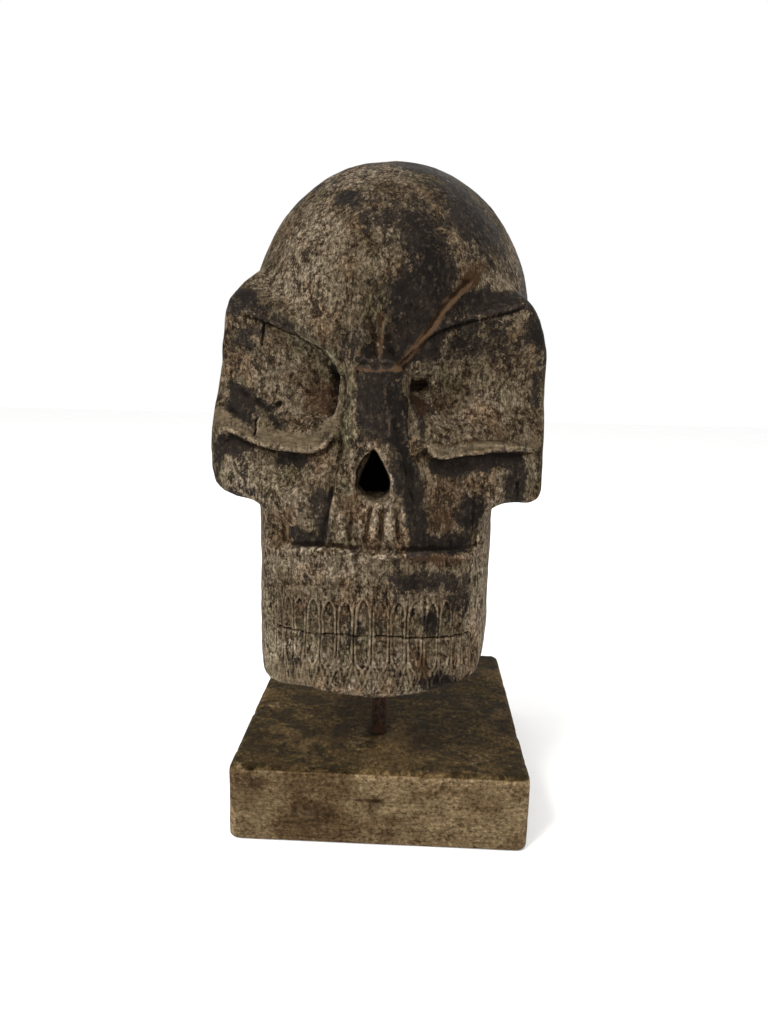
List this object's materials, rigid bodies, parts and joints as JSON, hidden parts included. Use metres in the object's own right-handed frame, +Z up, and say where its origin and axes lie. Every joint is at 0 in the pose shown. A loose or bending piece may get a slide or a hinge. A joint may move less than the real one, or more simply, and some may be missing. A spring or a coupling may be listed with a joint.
{
  "type": "carved skull on stand",
  "caption": "Hand-carved wooden skull with plate-like cheekbones, on a round steel post in a square wooden block base.",
  "frame": {"origin": "centre of the base's underside", "axes": "+Z up along the post, the face looks along -Y, +X to the right of someone who looks at the face"},
  "size_m": [0.1655, 0.1815, 0.345],
  "materials": {
    "carved_wood": "weathered, dry, with dark worn patina",
    "base_wood": "dark stained, worn",
    "rusty_steel": "flaking brown rust",
    "plain_steel": "dull mill finish with rust spots",
    "screw_steel": "dull zinc"
  },
  "bodies": {
    "base": {"base": "base_wood", "foot_plate": "plain_steel", "weld_bead": "rusty_steel", "screw_1": "screw_steel", "screw_2": "screw_steel", "screw_3": "screw_steel", "screw_4": "screw_steel"},
    "post": {"post": "rusty_steel"},
    "skull": {"skull": "carved_wood"}
  },
  "joints": [
    {"name": "skull_turn", "type": "hinge", "parent": "base", "child": "post", "pos_m": [-0.002, -0.036, 0.04], "axis": [0, 0, 1], "continuous": true},
    {"name": "skull_lift", "type": "slide", "parent": "post", "child": "skull", "axis": [0, 0, 1], "range_m": [0, 0.11]}
  ]
}
